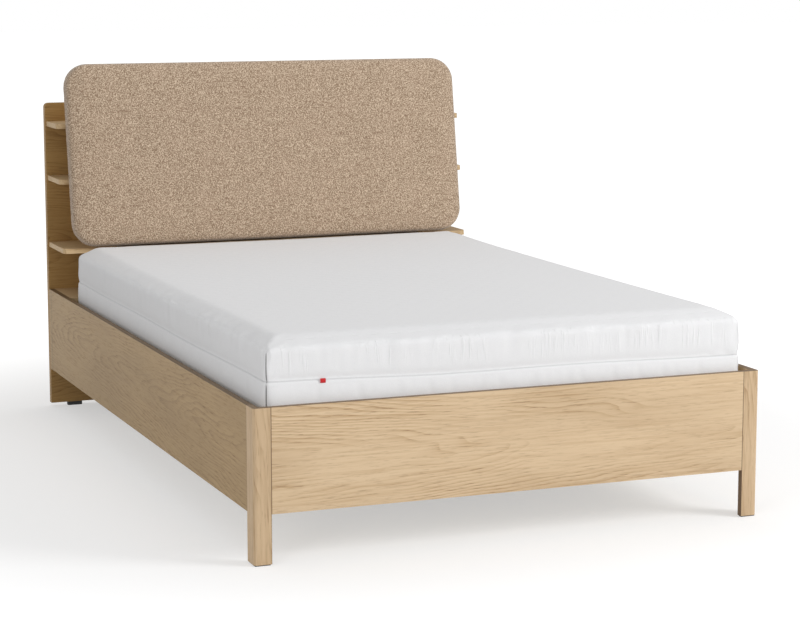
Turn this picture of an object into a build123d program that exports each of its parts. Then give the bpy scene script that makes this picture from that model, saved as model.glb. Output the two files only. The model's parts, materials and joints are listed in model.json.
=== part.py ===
from build123d import *
import math
import os

# Storage bed with a leaning upholstered headboard and a mattress platform that lifts at the foot.
# Millimetres. X runs across the bed, Y from foot to head, Z up. The origin is on the floor, under the
# middle of the whole bed. Left is -X and right is +X, as seen from the foot.

# Mattress and the room around it
mattress_width = 1386.0
mattress_length = 1998.0
mattress_border = 200.0
mattress_crown = 14.0
mattress_corner = 26.0
mattress_sink = 50.0          # how far its underside lies below the rails' top edge
zip_height = 104.0            # above the mattress's underside
zip_draw = 4.5                # how far the sides are drawn in at the zip
side_gap = 23.0
foot_gap = 12.0
head_gap = 14.0

# Panels of the frame
panel_thickness = 18.0
rail_bottom = 134.0
rail_height = 278.0
leg_front_width = 48.0
leg_side_depth = 56.0
leg_rounding = 9.0
leg_glide_height = 3.0
leg_glide_inset = 3.0

# Headboard
head_depth = 223.0
back_panel_thickness = 25.0
back_panel_top = 1050.0
back_panel_corner = 15.0
back_glide_height = 13.0
back_glide_length = 49.0
back_glide_inset = 59.0
shelf_thickness = 16.0
shelf_tops = {"lower": 575.0, "middle": 804.0, "upper": 988.0}
lower_shelf_depth = 217.0
shelf_inset = 4.0
shelf_corner = 18.0
divider_inset = 170.0         # from the bed's outer side to the divider
lean = 9.24                   # degrees that the pad leans back

# Headboard pad
pad_width = 1412.0
pad_height = 622.0            # along the slope
pad_thickness = 53.0
pad_crown = 3.0
pad_corner = 85.0
pad_below_shelf = 1.0         # its rear lower edge under the lower shelf's top face
pad_gap = 0.3                 # to the shelves' front edges
pad_board_thickness = 12.0
pad_board_inset = 14.0
pad_bracket_size = 34.0
pad_bracket_width = 40.0
pad_bracket_steel = 2.5

# Storage box
floor_thickness = 8.0
floor_play = 1.5
ledge_size = 14.0
ledge_steel = 2.0
ledge_drop = 3.0              # how far the ledge's underside lies above the rails' bottom edge
beam_width = 24.0
beam_flange = 80.0
beam_height = 41.0
foot_radius = 17.0
foot_spacing = 900.0
wall_thickness = 16.0
wall_setback = 2.0            # of the head wall behind the base shelf's front edge
cleat_width = 50.0
cleat_height = 30.0
rest_gap = 0.3                # between the platform and what it rests on
buffer_radius = 9.0
buffer_inset = 10.0           # from the cleat's inner edge to the buffer's centre
buffer_height = 5.0

# Mattress platform
tube = 30.0
tube_wall = 1.5
slat_thickness = 8.0
slat_width = 53.0
slat_count = 13
holder_floor = 4.0
holder_wall = 4.0
holder_length = 34.0
slat_play = 0.5
bracket_steel = 4.0
bracket_round = 16.0
arm_from_bracket = 3.0        # gap from the platform bracket to the lift arm beside it
link_from_plate = 4.0         # gap from the base plate to the guide link beside it
stop_bar = 6.0
stop_width = 200.0
stop_height = 104.0           # above the platform tubes' underside
stop_offset = 450.0
strap_width = 30.0
strap_thickness = 2.0
strap_length = 76.0
tag_width = 16.0
tag_height = 13.0
tag_thickness = 0.7
tag_offset = -535.0

# Lift: pivots in the Y-Z plane, measured from the platform pivot
platform_pivot_from_head = 460.0
platform_pivot_below_tube = 37.0
arm_pivot = (-368.0, -118.0)      # swing arm on its base plate
link_pivot = (-217.0, 12.0)       # guide link on its base plate
link_end = (38.0, 62.0)           # guide link on the platform bracket
spring_pivot = (-107.0, -118.0)   # gas spring on its base plate
spring_end = (90.0, 28.0)         # gas spring on the platform bracket
arm_steel = 5.0
arm_half_width = 13.0
link_half_width = 11.0
arm_pin = 6.0
link_pin = 5.0
running_fit = 0.05
open_link_play = 1.6              # the guide link's hole on the platform bracket is wide by this
open_spring_play = 1.9            # and the gas rod's eye by this
pin_head_thickness = 2.5
pin_head_rim = 3.5
side_play = 0.3
base_plate_steel = 3.0
base_plate_margin = 32.0
base_plate_corner = 12.0
cylinder_radius = 9.0
cylinder_wall = 1.5
cylinder_length = 186.0
cylinder_neck = 18.0              # from the eye's centre to the cylinder's end
rod_radius = 4.0
piston_length = 8.0
piston_depth = 96.0               # of the piston below the cylinder's mouth at rest
eye_thickness = 10.0
eye_rim = 5.0

# Corner plates and screws
plate_steel = 2.5
plate_length = 120.0
plate_height = 110.0
plate_above_floor = 26.0
plate_screw_inset = 16.0
angle_flange = 56.0
angle_height = 180.0
screw_radius = 2.5
screw_length = 13.0
screw_head_radius = 5.0
screw_head_height = 2.4
plate_shift = 22.0                # of the corner plates towards their leg
plate_leg_screw = 10.0            # from a corner plate's screw row to the leg's inner edge
angle_above_floor = 30.0
angle_screw_end = 25.0
angle_screw_shift = 4.0

# Small gaps and shares
foot_tube_overhang = 1.0          # of the foot tube beyond the mattress
head_tube_inset = 8.0             # from the mattress's head end to the head tube
side_tube_inset = 7.0             # from the mattress's side to the side tubes
spring_shift = 0.5                # of the gas springs towards the platform bracket
base_plate_clear = 0.5            # above the floor ledge
base_plate_trim = 4.0
base_screw_trim = 2.0
base_screw_rises = (28.0, 40.0)
pad_bracket_gap = 90.0            # from a divider to the bracket beside it
cleat_clear = 20.0                # from a side cleat's ends to the plates
foot_cleat_inset = 156.0
buffer_end = 120.0                # from a side cleat's end to its buffer
foot_buffer_share = 0.6
eye_overlap = 1.0                 # of a gas spring's eye and its neck
bore_start = 4.0
mouth_rim = 5.0
plug_depth = 12.0
plug_rim = 2.0
stop_gap = 0.5
stop_bend = 0.8                   # bend radius in bar diameters
strap_rise = 3.0                  # of the strap's lower end above the tubes' underside

# Places worked out from the sizes above
half_width = mattress_width / 2 + side_gap + panel_thickness
rail_inner = half_width - panel_thickness
rail_top = rail_bottom + rail_height
overall_length = (panel_thickness + foot_gap + mattress_length + head_gap + head_depth
                  + back_panel_thickness)
foot_face = -overall_length / 2
footboard_inner = foot_face + panel_thickness
mattress_foot = footboard_inner + foot_gap
mattress_head = mattress_foot + mattress_length
base_shelf_front = mattress_head + head_gap
back_panel_front = base_shelf_front + head_depth
back_panel_rear = back_panel_front + back_panel_thickness
mattress_bottom = rail_top - mattress_sink
tube_top = mattress_bottom - slat_thickness - holder_floor
tube_bottom = tube_top - tube
floor_bottom = rail_bottom + ledge_drop + ledge_steel
floor_top = floor_bottom + floor_thickness
head_wall_front = base_shelf_front + wall_setback
leg_inner = half_width - leg_front_width
leg_back = foot_face + leg_side_depth
lean_slope = math.tan(math.radians(lean))

platform_foot = mattress_foot - foot_tube_overhang
platform_head = mattress_head - head_tube_inset
pivot_y = mattress_head - platform_pivot_from_head
pivot_z = tube_bottom - platform_pivot_below_tube
tube_outer = mattress_width / 2 - side_tube_inset
bracket_outer = tube_outer + bracket_steel
plate_inner = rail_inner - base_plate_steel
arm_x = (bracket_outer + arm_from_bracket, bracket_outer + arm_from_bracket + arm_steel)
link_x = (plate_inner - link_from_plate - arm_steel, plate_inner - link_from_plate)
spring_x = (bracket_outer + plate_inner) / 2 - spring_shift


def block(x, y, z):
    """A box between the low and high value on each axis."""
    centre = Pos((x[0] + x[1]) / 2, (y[0] + y[1]) / 2, (z[0] + z[1]) / 2)
    return centre * Box(x[1] - x[0], y[1] - y[0], z[1] - z[0])


def rod_along_x(place, radius, x):
    """A round bar along X, from x[0] to x[1], at a place in the Y-Z plane."""
    middle = Pos((x[0] + x[1]) / 2, place[0], place[1])
    return middle * Rot(0, 90, 0) * Cylinder(radius, x[1] - x[0])


def rod_along_y(x, z, radius, y):
    return Pos(x, (y[0] + y[1]) / 2, z) * Rot(90, 0, 0) * Cylinder(radius, y[1] - y[0])


def side_profile(outline, x):
    """A face drawn in the Y-Z plane, extruded along X from x[0] to x[1]."""
    return extrude(Plane.YZ.offset(x[0]) * outline, amount=x[1] - x[0])


def mirrored(solid):
    return mirror(solid, about=Plane.YZ)


def from_pivot(offset):
    """A lift pivot's place in the Y-Z plane."""
    return (pivot_y + offset[0], pivot_z + offset[1])


def lean_y(z):
    """The Y of the plane that the shelves' front edges share."""
    return back_panel_front - lower_shelf_depth + lean_slope * (z - shelf_tops["lower"])


def save(name, *solids):
    shape = solids[0] if len(solids) == 1 else Compound(children=list(solids))
    export_step(shape, f"parts/{name}.step")


def save_pair(name, right_solid):
    save(name + "_left", mirrored(right_solid))
    save(name + "_right", right_solid)


os.makedirs("parts", exist_ok=True)


# Corner plates and base plates: where they lie and where their screws go
plate_z = (floor_top + plate_above_floor, floor_top + plate_above_floor + plate_height)
side_plate_y = (leg_back - plate_length / 2 + plate_shift,
                leg_back + plate_length / 2 + plate_shift)
front_plate_x = (leg_inner - plate_length + plate_shift, leg_inner + plate_shift)
screw_z = (plate_z[0] + plate_screw_inset, plate_z[1] - plate_screw_inset)
side_screws = [(y, z) for y in (leg_back - plate_screw_inset, side_plate_y[1] - plate_screw_inset)
               for z in screw_z]
front_screws = [(x, z) for x in (front_plate_x[0] + plate_screw_inset, leg_inner + plate_leg_screw)
                for z in screw_z]

place_a = from_pivot(arm_pivot)
place_b = from_pivot((0.0, 0.0))
place_c = from_pivot(link_pivot)
place_d = from_pivot(link_end)
place_g = from_pivot(spring_pivot)
place_h = from_pivot(spring_end)

base_y = (place_a[0] - base_plate_margin, place_g[0] + base_plate_margin)
base_z = (rail_bottom + ledge_drop + ledge_size + base_plate_clear,
          place_c[1] + base_plate_margin - base_plate_trim)
base_inset = base_plate_margin / 2 - base_screw_trim
base_screws = [(base_y[0] + base_inset, base_z[0] + base_inset + base_screw_rises[0]),
               (base_y[0] + base_inset, base_z[1] - base_inset),
               (base_y[1] - base_inset, base_z[1] - base_inset),
               (base_y[1] - base_inset, base_z[0] + base_inset + base_screw_rises[1]),
               ((place_a[0] + place_c[0]) / 2, (place_a[1] + place_c[1]) / 2)]

angle_z = (floor_top + angle_above_floor, floor_top + angle_above_floor + angle_height)
angle_screw_z = (angle_z[0] + angle_screw_end, angle_z[1] - angle_screw_end)
angle_middle = angle_flange / 2 + angle_screw_shift


def side_screw(place, under_head):
    """A screw into a side rail or leg; its head bears on a plate whose face is at under_head."""
    shank = rod_along_x(place, screw_radius, (under_head, under_head + screw_length))
    head = rod_along_x(place, screw_head_radius, (under_head - screw_head_height, under_head))
    return shank + head


def front_screw(place, under_head):
    """A screw into the footboard or the leg's front, driven towards the foot."""
    shank = rod_along_y(place[0], place[1], screw_radius, (under_head - screw_length, under_head))
    head = rod_along_y(place[0], place[1], screw_head_radius,
                       (under_head, under_head + screw_head_height))
    return shank + head


def back_screw(place, under_head):
    """A screw into the back panel, driven towards the head."""
    shank = rod_along_y(place[0], place[1], screw_radius, (under_head, under_head + screw_length))
    head = rod_along_y(place[0], place[1], screw_head_radius,
                       (under_head - screw_head_height, under_head))
    return shank + head


corner_screws = [side_screw(place, rail_inner - plate_steel) for place in side_screws]
corner_screws += [front_screw(place, footboard_inner + plate_steel) for place in front_screws]
plate_screws = [side_screw(place, plate_inner) for place in base_screws]
angle_side = [(back_panel_front - angle_middle, z) for z in angle_screw_z]
angle_back = [(rail_inner - angle_middle, z) for z in angle_screw_z]
angle_screws = [side_screw(place, rail_inner - plate_steel) for place in angle_side]
angle_screws += [back_screw(place, back_panel_front - plate_steel) for place in angle_back]


def drilled(solid, screws):
    """The solid with a hole for each screw, where the two meet."""
    for screw in screws:
        solid = solid - screw
    return solid


# Footboard, side rails and front legs
footboard = block((-leg_inner, leg_inner), (foot_face, footboard_inner), (rail_bottom, rail_top))
front_pair = corner_screws[len(side_screws):]
footboard = drilled(footboard, front_pair + [mirrored(screw) for screw in front_pair])
save("footboard_panel", footboard)

side_rail = block((rail_inner, half_width), (leg_back, back_panel_front), (rail_bottom, rail_top))
save_pair("side_rail", drilled(side_rail, corner_screws + plate_screws + angle_screws))

leg_z = (leg_glide_height, rail_top)
leg = (block((leg_inner, half_width), (foot_face, footboard_inner), leg_z)
       + block((rail_inner, half_width), (foot_face, leg_back), leg_z))
outer_edge = leg.edges().filter_by(Axis.Z).sort_by(
    lambda edge: edge.center().X - edge.center().Y)[-1]
leg = fillet(outer_edge, leg_rounding)
save_pair("leg_front", drilled(leg, corner_screws))

glide_front = block((leg_inner + leg_glide_inset, half_width - leg_glide_inset),
                    (foot_face + leg_glide_inset, footboard_inner - leg_glide_inset),
                    (0, leg_glide_height))
glide_side = block((rail_inner + leg_glide_inset, half_width - leg_glide_inset),
                   (foot_face + leg_glide_inset, leg_back - leg_glide_inset),
                   (0, leg_glide_height))
leg_glide = glide_front + glide_side
save("leg_glides", leg_glide, mirrored(leg_glide))

# Back panel, standing on its own glides
panel = block((-half_width, half_width), (back_panel_front, back_panel_rear),
              (back_glide_height, back_panel_top))
panel = fillet(panel.edges().filter_by(Axis.Y).group_by(Axis.Z)[-1], back_panel_corner)
save("back_panel", drilled(panel, angle_screws + [mirrored(screw) for screw in angle_screws]))

glide_y = (back_panel_front + leg_glide_inset, back_panel_rear - leg_glide_inset)
glide_x = (half_width - back_glide_inset - back_glide_length, half_width - back_glide_inset)
back_glide = block(glide_x, glide_y, (0, back_glide_height))
middle_glide = block((-back_glide_length / 2, back_glide_length / 2), glide_y, (0, back_glide_height))
save("back_panel_glides", back_glide, middle_glide, mirrored(back_glide))

# Shelves: their front edges follow the lean, and their front corners are rounded
for level, top in shelf_tops.items():
    outline = Polyline((lean_y(top), top), (back_panel_front, top),
                       (back_panel_front, top - shelf_thickness),
                       (lean_y(top - shelf_thickness), top - shelf_thickness), close=True)
    reach = half_width - shelf_inset
    shelf = side_profile(make_face(outline), (-reach, reach))
    upright = [edge for edge in shelf.edges()
               if edge.center().Y < back_panel_front - 1 and abs(edge.center().X) > reach - 1
               and edge.bounding_box().size.Z > shelf_thickness - 1]
    save("shelf_" + level, fillet(upright, shelf_corner))

base_shelf = block((-rail_inner, rail_inner), (base_shelf_front, back_panel_front),
                   (rail_top - shelf_thickness, rail_top))
save("shelf_base", base_shelf)

# Dividers between the shelves, behind the pad, one board in each level
divider_x = (half_width - divider_inset - shelf_thickness, half_width - divider_inset)
levels = [rail_top] + sorted(shelf_tops.values())
boards = []
for below, above in zip(levels, levels[1:]):
    low, high = below, above - shelf_thickness
    outline = Polyline((lean_y(low), low), (back_panel_front, low), (back_panel_front, high),
                       (lean_y(high), high), close=True)
    board = side_profile(make_face(outline), divider_x)
    front = block(divider_x, (foot_face, base_shelf_front + wall_setback), (low, high))
    boards.append(board - front)
save("divider_left", *[mirrored(board) for board in boards])
save("divider_right", *boards)

# Headboard pad: a crowned cushion with rounded edges, its board let into the back
normal = (0, -math.cos(math.radians(lean)), math.sin(math.radians(lean)))
pad_low_z = shelf_tops["lower"] - pad_below_shelf
pad_centre_z = pad_low_z + pad_height / 2 * math.cos(math.radians(lean))
pad_plane = Plane(origin=(0, lean_y(pad_centre_z) - pad_gap, pad_centre_z), x_dir=(1, 0, 0),
                  z_dir=normal)


def pad_section(out, inset):
    size = (pad_width - 2 * inset, pad_height - 2 * inset)
    radius = max(pad_corner - inset, pad_corner / 4)
    return pad_plane.offset(out) * RectangleRounded(size[0], size[1], radius)


pad_sections = [(0.0, 9.0), (0.12, 2.5), (0.3, 0.0), (0.62, 0.0), (0.78, 2.5), (0.9, 8.0),
                (0.97, 17.0), (1.0, 32.0)]
pad_faces = [pad_section(share * pad_thickness, inset) for share, inset in pad_sections]
pad_faces += [pad_section(pad_thickness + share * pad_crown, inset)
              for share, inset in [(0.6, 90.0), (0.9, 170.0), (1.0, 250.0)]]
pad = loft(pad_faces, ruled=True)
board_size = (pad_width - 2 * pad_board_inset, pad_height - 2 * pad_board_inset)
board_face = pad_plane * RectangleRounded(board_size[0], board_size[1], pad_corner - pad_board_inset)
pad_board = extrude(board_face, amount=pad_board_thickness)
save("pad_board", pad_board)
save("headboard_pad", pad - pad_board)

# Steel angles under two of the shelves, screwed to the pad's board
brackets = []
for top in (shelf_tops["upper"], shelf_tops["middle"]):
    high = top - shelf_thickness
    low = high - pad_bracket_size
    rear = pad_bracket_size + pad_bracket_steel
    outline = Polyline((lean_y(high), high), (lean_y(high) + rear, high),
                       (lean_y(high) + rear, high - pad_bracket_steel),
                       (lean_y(high) + pad_bracket_steel, high - pad_bracket_steel),
                       (lean_y(low) + pad_bracket_steel, low), (lean_y(low), low), close=True)
    bracket_end = divider_x[0] - pad_bracket_gap
    bracket_x = (bracket_end - pad_bracket_width, bracket_end)
    bracket = side_profile(make_face(outline), bracket_x)
    brackets += [bracket, mirrored(bracket)]
save("pad_brackets", *brackets)

# Storage box: head wall, floor ledges, floor panels, centre beam and its feet
wall_y = (head_wall_front, head_wall_front + wall_thickness)
save("head_wall", block((-rail_inner, rail_inner), wall_y, (rail_bottom, rail_top - shelf_thickness)))

ledge_y = (leg_back, head_wall_front)
ledge_low = rail_bottom + ledge_drop
ledge = (block((rail_inner - ledge_size, rail_inner), ledge_y, (ledge_low, ledge_low + ledge_steel))
         + block((rail_inner - ledge_steel, rail_inner), ledge_y, (ledge_low, ledge_low + ledge_size)))
save_pair("floor_ledge", ledge)

floor_x = (beam_width / 2 + floor_play, rail_inner - ledge_steel - floor_play)
floor_y = (footboard_inner + floor_play, head_wall_front - floor_play)
save_pair("floor_panel", block(floor_x, floor_y, (floor_bottom, floor_top)))

beam_y = (footboard_inner, head_wall_front)
beam = (block((-beam_flange / 2, beam_flange / 2), beam_y, (rail_bottom, floor_bottom))
        + block((-beam_width / 2, beam_width / 2), beam_y, (floor_bottom, rail_bottom + beam_height)))
save("centre_beam", beam)
beam_middle = (beam_y[0] + beam_y[1]) / 2
feet = [Pos(0, beam_middle + side * foot_spacing / 2, rail_bottom / 2)
        * Cylinder(foot_radius, rail_bottom) for side in (-1, 1)]
save("centre_feet", *feet)

# Cleats that the platform comes down on, with rubber buffers let into them
cleat_z = (tube_bottom - rest_gap - cleat_height, tube_bottom - rest_gap)
side_cleat_y = (side_plate_y[1] + cleat_clear, base_y[0] - cleat_clear)
foot_cleat_x = rail_inner - foot_cleat_inset
side_cleat = block((rail_inner - cleat_width, rail_inner), side_cleat_y, cleat_z)
foot_cleat = block((-foot_cleat_x, foot_cleat_x), (footboard_inner, footboard_inner + cleat_width),
                   cleat_z)


def buffer(x, y):
    return Pos(x, y, cleat_z[1] - buffer_height / 2) * Cylinder(buffer_radius, buffer_height)


side_buffers = [buffer(rail_inner - cleat_width + buffer_inset, y)
                for y in (side_cleat_y[0] + buffer_end, side_cleat_y[1] - buffer_end)]
foot_buffers = [buffer(side * foot_cleat_x * foot_buffer_share, platform_foot + tube / 2)
                for side in (-1, 1)]
save_pair("side_cleat", drilled(side_cleat, side_buffers))
save("foot_cleat", drilled(foot_cleat, foot_buffers))
save("rest_buffers", *foot_buffers, *side_buffers, *[mirrored(one) for one in side_buffers])

# Flat plates inside the front corners and angles at the back panel, with all the frame's screws
side_plate = block((rail_inner - plate_steel, rail_inner), side_plate_y, plate_z)
front_plate = block(front_plate_x, (footboard_inner, footboard_inner + plate_steel), plate_z)
corner_plates = [drilled(plate, corner_screws) for plate in (side_plate, front_plate)]
save("corner_plates", *corner_plates, *[mirrored(plate) for plate in corner_plates])

angle_y = (back_panel_front - angle_flange, back_panel_front)
angle_x = (rail_inner - angle_flange, rail_inner)
angle = (block((rail_inner - plate_steel, rail_inner), angle_y, angle_z)
         + block(angle_x, (back_panel_front - plate_steel, back_panel_front), angle_z))
angle = drilled(angle, angle_screws)
save("back_angles", angle, mirrored(angle))
frame_screws = corner_screws + angle_screws + plate_screws
save("frame_screws", *frame_screws, *[mirrored(screw) for screw in frame_screws])

# Lift base plates with their pivot pins
base_plate = side_profile(
    Pos((base_y[0] + base_y[1]) / 2, (base_z[0] + base_z[1]) / 2)
    * RectangleRounded(base_y[1] - base_y[0], base_z[1] - base_z[0], base_plate_corner),
    (plate_inner, rail_inner))
pin_holes = [(place_a, arm_pin), (place_c, link_pin), (place_g, link_pin)]
for place, radius in pin_holes:
    base_plate -= rod_along_x(place, radius + running_fit, (plate_inner, rail_inner))
save_pair("base_plate", drilled(base_plate, plate_screws))


def frame_pin(place, radius, held_x):
    """A pin in the base plate that holds a piece between held_x[0] and held_x[1]."""
    head_x = (held_x[0] - side_play - pin_head_thickness, held_x[0] - side_play)
    shaft = rod_along_x(place, radius, (head_x[0], rail_inner))
    head = rod_along_x(place, radius + pin_head_rim, head_x)
    collar = rod_along_x(place, radius + pin_head_rim, (held_x[1] + side_play, plate_inner))
    return shaft + head + collar


def platform_pin(place, radius, held_x):
    """A pin in the platform bracket that holds a piece between held_x[0] and held_x[1]."""
    head_x = (held_x[1] + side_play, held_x[1] + side_play + pin_head_thickness)
    shaft = rod_along_x(place, radius, (tube_outer, head_x[1]))
    head = rod_along_x(place, radius + pin_head_rim, head_x)
    collar = rod_along_x(place, radius + pin_head_rim, (bracket_outer, held_x[0] - side_play))
    return shaft + head + collar


eye_x = (spring_x - eye_thickness / 2, spring_x + eye_thickness / 2)
base_pins = [frame_pin(place_a, arm_pin, arm_x), frame_pin(place_c, link_pin, link_x),
             frame_pin(place_g, link_pin, eye_x)]
save("base_plate_pins", *base_pins, *[mirrored(pin) for pin in base_pins])


def flat_bar(start, end, x, bar_half_width, start_hole, end_hole):
    """A flat steel bar with round ends between two pivots."""
    length = math.dist(start, end)
    turn = math.degrees(math.atan2(end[1] - start[1], end[0] - start[0]))
    middle = Pos((start[0] + end[0]) / 2, (start[1] + end[1]) / 2)
    outline = middle * Rot(0, 0, turn) * SlotCenterToCenter(length, 2 * bar_half_width)
    bar = side_profile(outline, x)
    return bar - rod_along_x(start, start_hole, x) - rod_along_x(end, end_hole, x)


save_pair("lift_arm", flat_bar(place_a, place_b, arm_x, arm_half_width, arm_pin + running_fit,
                               arm_pin + running_fit))
save_pair("guide_link", flat_bar(place_c, place_d, link_x, link_half_width, link_pin + running_fit,
                                 link_pin + open_link_play))

# Gas springs: built standing on the base plate pivot, then turned to the platform bracket's pivot
spring_closed = math.dist(place_g, place_h)
spring_turn = math.degrees(math.atan2(place_h[1] - place_g[1], place_h[0] - place_g[0]))
spring_place = Pos(spring_x, place_g[0], place_g[1]) * Rot(spring_turn - 90, 0, 0)
mouth = cylinder_neck + cylinder_length


def upright(radius, z):
    return Pos(0, 0, (z[0] + z[1]) / 2) * Cylinder(radius, z[1] - z[0])


def eye(z, radius, hole):
    ring = Pos(0, 0, z) * Rot(0, 90, 0) * Cylinder(radius, eye_thickness)
    return ring - Pos(0, 0, z) * Rot(0, 90, 0) * Cylinder(hole, eye_thickness)


cylinder_hole = link_pin + running_fit
cylinder_eye = eye(0, cylinder_hole + eye_rim, cylinder_hole)
neck = upright(rod_radius, (cylinder_hole + eye_rim - eye_overlap, cylinder_neck))
bore = upright(cylinder_radius - cylinder_wall, (cylinder_neck + bore_start, mouth - mouth_rim))
rod_hole = upright(rod_radius + running_fit, (mouth - mouth_rim, mouth))
cylinder = cylinder_eye + neck + upright(cylinder_radius, (cylinder_neck, mouth)) - bore - rod_hole
save_pair("gas_cylinder", spring_place * cylinder)

rod_eye_hole = link_pin + open_spring_play
piston_z = mouth - piston_depth
piston = upright(cylinder_radius - cylinder_wall - running_fit, (piston_z, piston_z + piston_length))
rod = upright(rod_radius, (piston_z, spring_closed - rod_eye_hole - eye_rim + eye_overlap))
rod_eye = eye(spring_closed, rod_eye_hole + eye_rim, rod_eye_hole)
save_pair("gas_rod", spring_place * (rod + piston + rod_eye))


# Mattress platform: welded square tubes, open inside
def square_tube(x, y, z, along):
    """A hollow square tube; along is the axis (0 for X, 1 for Y) that it runs in."""
    inner = [(low + tube_wall, high - tube_wall) for low, high in (x, y, z)]
    inner[along] = (x, y)[along]
    return block(x, y, z) - block(*inner)


tube_z = (tube_bottom, tube_top)
between_y = (platform_foot + tube, platform_head - tube)
side_tube = square_tube((tube_outer - tube, tube_outer), between_y, tube_z, 1)
save_pair("platform_side_tube", side_tube)
save("platform_centre_tube", square_tube((-tube / 2, tube / 2), between_y, tube_z, 1))
across_x = (-tube_outer, tube_outer)
save("platform_foot_tube", square_tube(across_x, (platform_foot, platform_foot + tube), tube_z, 0))
save("platform_head_tube", square_tube(across_x, (platform_head - tube, platform_head), tube_z, 0))

plug_inner = block((tube_outer - plug_depth, tube_outer),
                   (platform_foot + tube_wall, platform_foot + tube - tube_wall),
                   (tube_bottom + tube_wall, tube_top - tube_wall))
plug_cap = block((tube_outer, tube_outer + plug_rim), (platform_foot, platform_foot + tube), tube_z)
foot_plug = plug_inner + plug_cap
head_plug = Pos(0, platform_head - tube - platform_foot, 0) * foot_plug
plugs = [foot_plug, head_plug]
save("tube_plugs", *plugs, *[mirrored(plug) for plug in plugs])

# Platform brackets that carry the three pins of each side
pin_circles = [Pos(*place) * Circle(bracket_round) for place in (place_b, place_d, place_h)]
bracket_outline = make_hull([edge for circle in pin_circles for edge in circle.edges()])
bracket = side_profile(bracket_outline, (tube_outer, bracket_outer))
for place, radius in ((place_b, arm_pin), (place_d, link_pin), (place_h, link_pin)):
    bracket -= rod_along_x(place, radius, (tube_outer, bracket_outer))
save_pair("platform_bracket", bracket)
side_pins = [platform_pin(place_b, arm_pin, arm_x), platform_pin(place_d, link_pin, link_x),
             platform_pin(place_h, link_pin, eye_x)]
save("platform_pins", *side_pins, *[mirrored(pin) for pin in side_pins])

# Sprung slats in two rows, in plastic holders on the side tubes and the centre tube
slat_z = (tube_top + holder_floor, mattress_bottom)
holder_z = (tube_top, mattress_bottom)
first_slat = platform_foot + tube + slat_width / 2 + holder_wall
last_slat = platform_head - tube - slat_width / 2 - holder_wall
slat_ys = [first_slat + (last_slat - first_slat) * index / (slat_count - 1)
           for index in range(slat_count)]
side_holder_x = (tube_outer - plug_rim - holder_length, tube_outer - plug_rim)
slat_x = (holder_wall / 2 + slat_play, side_holder_x[1] - holder_wall - slat_play)
slats, side_holders, centre_holders = [], [], []
for y in slat_ys:
    slat_y = (y - slat_width / 2, y + slat_width / 2)
    pocket_y = (slat_y[0] - slat_play, slat_y[1] + slat_play)
    holder_y = (pocket_y[0] - holder_wall + slat_play, pocket_y[1] + holder_wall - slat_play)
    slats.append(block(slat_x, slat_y, slat_z))
    pocket = block((slat_x[0] - slat_play, slat_x[1] + slat_play), pocket_y, slat_z)
    side_holders.append(block(side_holder_x, holder_y, holder_z) - pocket)
    middle_holder = block((-holder_length, holder_length), holder_y, holder_z)
    centre_holders.append(middle_holder - pocket - mirrored(pocket))
save("slats_left", *[mirrored(slat) for slat in slats])
save("slats_right", *slats)
save("slat_holders_left", *[mirrored(holder) for holder in side_holders])
save("slat_holders_right", *side_holders)
save("slat_holders_centre", *centre_holders)

# Two bars behind the mattress's head end that keep it on the raised platform
bar_y = mattress_head + stop_gap + stop_bar / 2
bar_low = tube_bottom + tube / 2
bar_top = tube_bottom + stop_height
stops = []
for side in (-1, 1):
    left, right = side * stop_offset - stop_width / 2, side * stop_offset + stop_width / 2
    points = [(left, platform_head, bar_low), (left, bar_y, bar_low), (left, bar_y, bar_top),
              (right, bar_y, bar_top), (right, bar_y, bar_low), (right, platform_head, bar_low)]
    path = FilletPolyline(*points, radius=stop_bar * stop_bend)
    section = Plane(origin=points[0], z_dir=(0, 1, 0)) * Circle(stop_bar / 2)
    stops.append(sweep(section, path=path))
save("mattress_stops", *stops)

# Pull strap on the foot tube, lying in the gap behind the footboard
strap_y = (platform_foot - strap_thickness, platform_foot)
strap_low = tube_bottom + strap_rise
strap = block((-strap_width / 2, strap_width / 2), strap_y, (strap_low, strap_low + strap_length))
save("pull_strap", fillet(strap.edges().filter_by(Axis.Y), strap_width / 6))

# Mattress: crowned, with rounded borders drawn in at the zip
mattress_middle = (mattress_foot + mattress_head) / 2


def mattress_section(height, inset):
    face = RectangleRounded(mattress_width - 2 * inset, mattress_length - 2 * inset, mattress_corner)
    return Pos(0, mattress_middle, mattress_bottom + height) * face


lower_border = [(0.0, 12.0), (5.0, 4.0), (14.0, 0.6), (28.0, 0.0)]
zip_border = [(zip_height - 16.0, 0.0), (zip_height - 8.0, zip_draw * 0.25),
              (zip_height, zip_draw), (zip_height + 8.0, zip_draw * 0.25),
              (zip_height + 16.0, 0.0)]
upper_border = [(mattress_border - 28.0, 0.0), (mattress_border - 14.0, 1.2),
                (mattress_border - 5.0, 6.0), (mattress_border, 16.0)]
crown = [(mattress_border + 0.45 * mattress_crown, 60.0),
         (mattress_border + 0.8 * mattress_crown, 170.0),
         (mattress_border + mattress_crown, 340.0)]
mattress = loft([mattress_section(height, inset)
                 for height, inset in lower_border + zip_border + upper_border + crown], ruled=True)
save("mattress", mattress)

# Plain tag sewn in at the zip, near the left foot corner
tag_front = mattress_foot + zip_draw * 0.2
zip_z = mattress_bottom + zip_height
save("mattress_tag", block((tag_offset - tag_width / 2, tag_offset + tag_width / 2),
                           (tag_front - tag_thickness, tag_front),
                           (zip_z - tag_height / 2, zip_z + tag_height / 2)))
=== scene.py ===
import json
import math
import bmesh
import bpy
import numpy as np
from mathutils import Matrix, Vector, noise


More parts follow.
